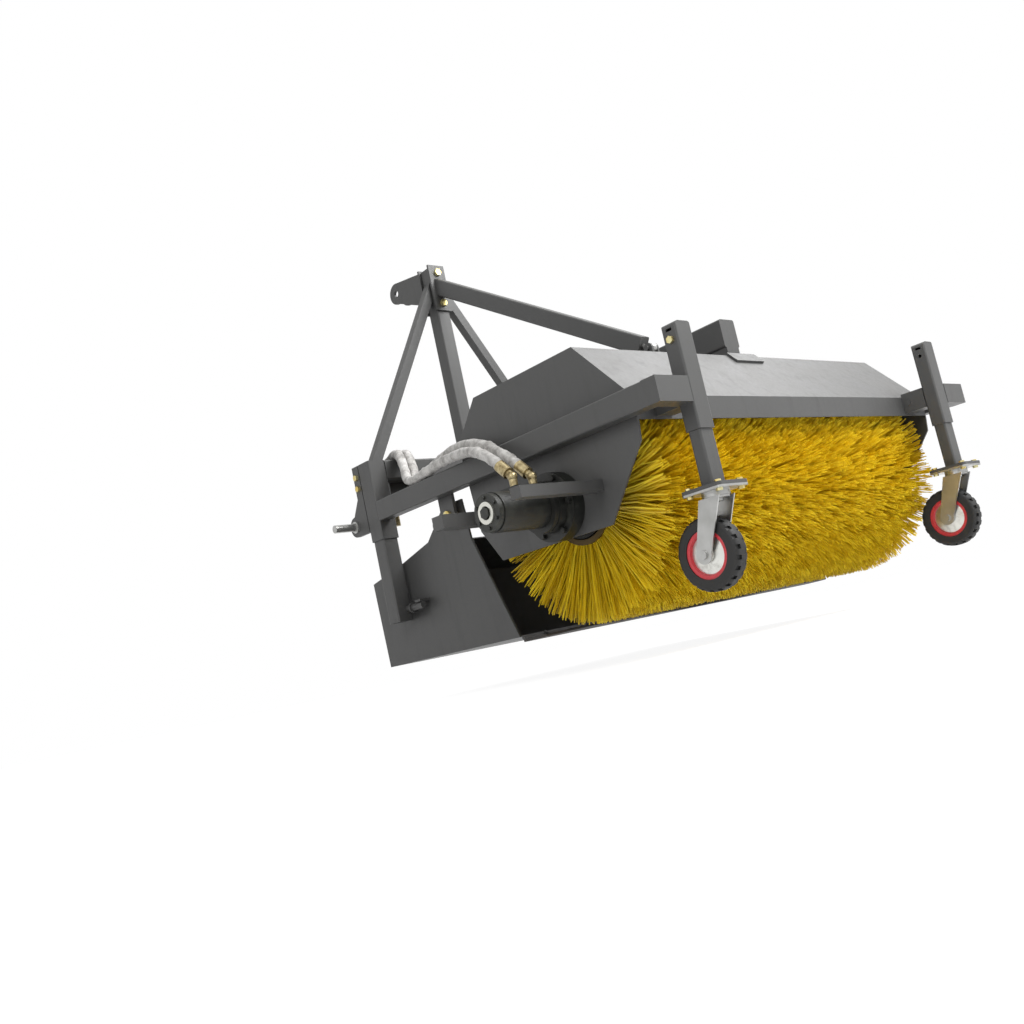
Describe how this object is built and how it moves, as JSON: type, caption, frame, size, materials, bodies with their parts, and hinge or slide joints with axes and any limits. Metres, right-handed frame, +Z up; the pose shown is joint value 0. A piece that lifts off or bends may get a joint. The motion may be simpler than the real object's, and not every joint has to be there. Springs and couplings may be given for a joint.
{
  "type": "tractor-mounted power brush sweeper",
  "caption": "Tractor-mounted hydraulic rotary brush under a folded steel hood, with tilting collecting bin, swivel castors and an offset three-point headstock",
  "frame": {"origin": "middle of the base: the centre of the bounding box in X and Y, at the height of the brush's underside", "axes": "+X along the brush from the motor end to the idler end, +Y to the tractor, +Z up; metres"},
  "size_m": [1.959, 1.6195, 1.5149],
  "materials": {
    "frame_paint": "satin dark grey paint",
    "motor_black": "olive-black painted casting",
    "zinc": "bright zinc plate",
    "yellow_zinc": "yellow passivated zinc plate",
    "fitting_brass": "dull yellow plating",
    "hose_sleeve": "off-white woven sleeve",
    "bristle": "matte yellow polypropylene",
    "flap_rubber": "matte brown-black rubber",
    "rim_red": "red paint",
    "tyre_rubber": "matte black"
  },
  "bodies": {
    "frame": {"rail_left": "frame_paint", "rail_right": "frame_paint", "rear_brackets": "frame_paint", "castor_sleeve_left": "frame_paint", "castor_sleeve_right": "frame_paint", "front_sleeve_left": "frame_paint", "front_sleeve_right": "frame_paint", "front_beam": "frame_paint", "mast": "frame_paint", "headstock_leg_left": "frame_paint", "headstock_leg_right": "frame_paint", "apex_clamp": "frame_paint", "top_link_lugs": "frame_paint", "tie_bar": "frame_paint", "tie_eye": "zinc", "tie_anchor": "frame_paint", "top_beam": "frame_paint", "hood": "frame_paint", "hood_side_left": "frame_paint", "hood_side_right": "frame_paint", "bin_hangers": "frame_paint", "bin_pivot_pins": "yellow_zinc", "motor_bearing": "motor_black", "idler_bearing": "motor_black", "motor_body": "motor_black", "motor_cap": "motor_black", "motor_bolts": "yellow_zinc", "guard_bars": "frame_paint", "hose_fittings": "fitting_brass", "lower_link_plates": "frame_paint", "lower_link_pins": "zinc", "frame_bolts": "yellow_zinc", "coupler_bracket": "frame_paint", "hose_pressure": "hose_sleeve", "hose_return": "hose_sleeve", "couplers": "fitting_brass"},
    "brush": {"brush_shaft": "motor_black", "brush_section_left": "bristle", "brush_section_middle": "bristle", "brush_section_right": "bristle"},
    "front_leg_left": {"front_leg_left": "frame_paint"},
    "front_leg_right": {"front_leg_right": "frame_paint"},
    "bin": {"bin_tray": "frame_paint", "bin_sides": "frame_paint", "flap_strip": "frame_paint"},
    "flap": {"flap": "flap_rubber"},
    "castor_leg_left": {"castor_leg_left": "frame_paint", "plate_bolts_left": "yellow_zinc", "swivel_plate_left": "zinc"},
    "fork_left": {"fork_left": "zinc", "axle_left": "zinc"},
    "wheel_left": {"rim_left": "rim_red", "tyre_left": "tyre_rubber"},
    "castor_leg_right": {"castor_leg_right": "frame_paint", "plate_bolts_right": "yellow_zinc", "swivel_plate_right": "zinc"},
    "fork_right": {"fork_right": "zinc", "axle_right": "zinc"},
    "wheel_right": {"rim_right": "rim_red", "tyre_right": "tyre_rubber"}
  },
  "joints": [
    {"name": "brush_spin", "type": "hinge", "parent": "frame", "child": "brush", "pos_m": [0.1285, -0.28425, 0.355], "axis": [1, 0, 0], "continuous": true},
    {"name": "bin_tilt", "type": "hinge", "parent": "frame", "child": "bin", "pos_m": [0.1285, 0.22275, 0.45], "axis": [1, 0, 0], "range_deg": [0, 15]},
    {"name": "flap_flex", "type": "hinge", "parent": "bin", "child": "flap", "pos_m": [0.1285, 0.02185, 0.00411], "axis": [1, 0, 0], "range_deg": [-8, 100], "stiffness_Nm_per_rad": 40, "springref_deg": 42},
    {"name": "castor_left_height", "type": "slide", "parent": "frame", "child": "castor_leg_left", "axis": [0, 0, 1], "range_m": [-0.12, 0]},
    {"name": "castor_left_swivel", "type": "hinge", "parent": "castor_leg_left", "child": "fork_left", "pos_m": [-0.5555, -0.74425, 0.583], "axis": [0, 0, 1], "continuous": true},
    {"name": "wheel_left_spin", "type": "hinge", "parent": "fork_left", "child": "wheel_left", "pos_m": [-0.5555, -0.68625, 0.118], "axis": [1, 0, 0], "continuous": true},
    {"name": "front_leg_left_height", "type": "slide", "parent": "frame", "child": "front_leg_left", "axis": [0, 0, 1], "range_m": [-0.2, 0]},
    {"name": "castor_right_height", "type": "slide", "parent": "frame", "child": "castor_leg_right", "axis": [0, 0, 1], "range_m": [-0.12, 0]},
    {"name": "castor_right_swivel", "type": "hinge", "parent": "castor_leg_right", "child": "fork_right", "pos_m": [0.8125, -0.74425, 0.583], "axis": [0, 0, 1], "continuous": true},
    {"name": "wheel_right_spin", "type": "hinge", "parent": "fork_right", "child": "wheel_right", "pos_m": [0.8125, -0.68625, 0.118], "axis": [1, 0, 0], "continuous": true},
    {"name": "front_leg_right_height", "type": "slide", "parent": "frame", "child": "front_leg_right", "axis": [0, 0, 1], "range_m": [-0.2, 0]}
  ]
}
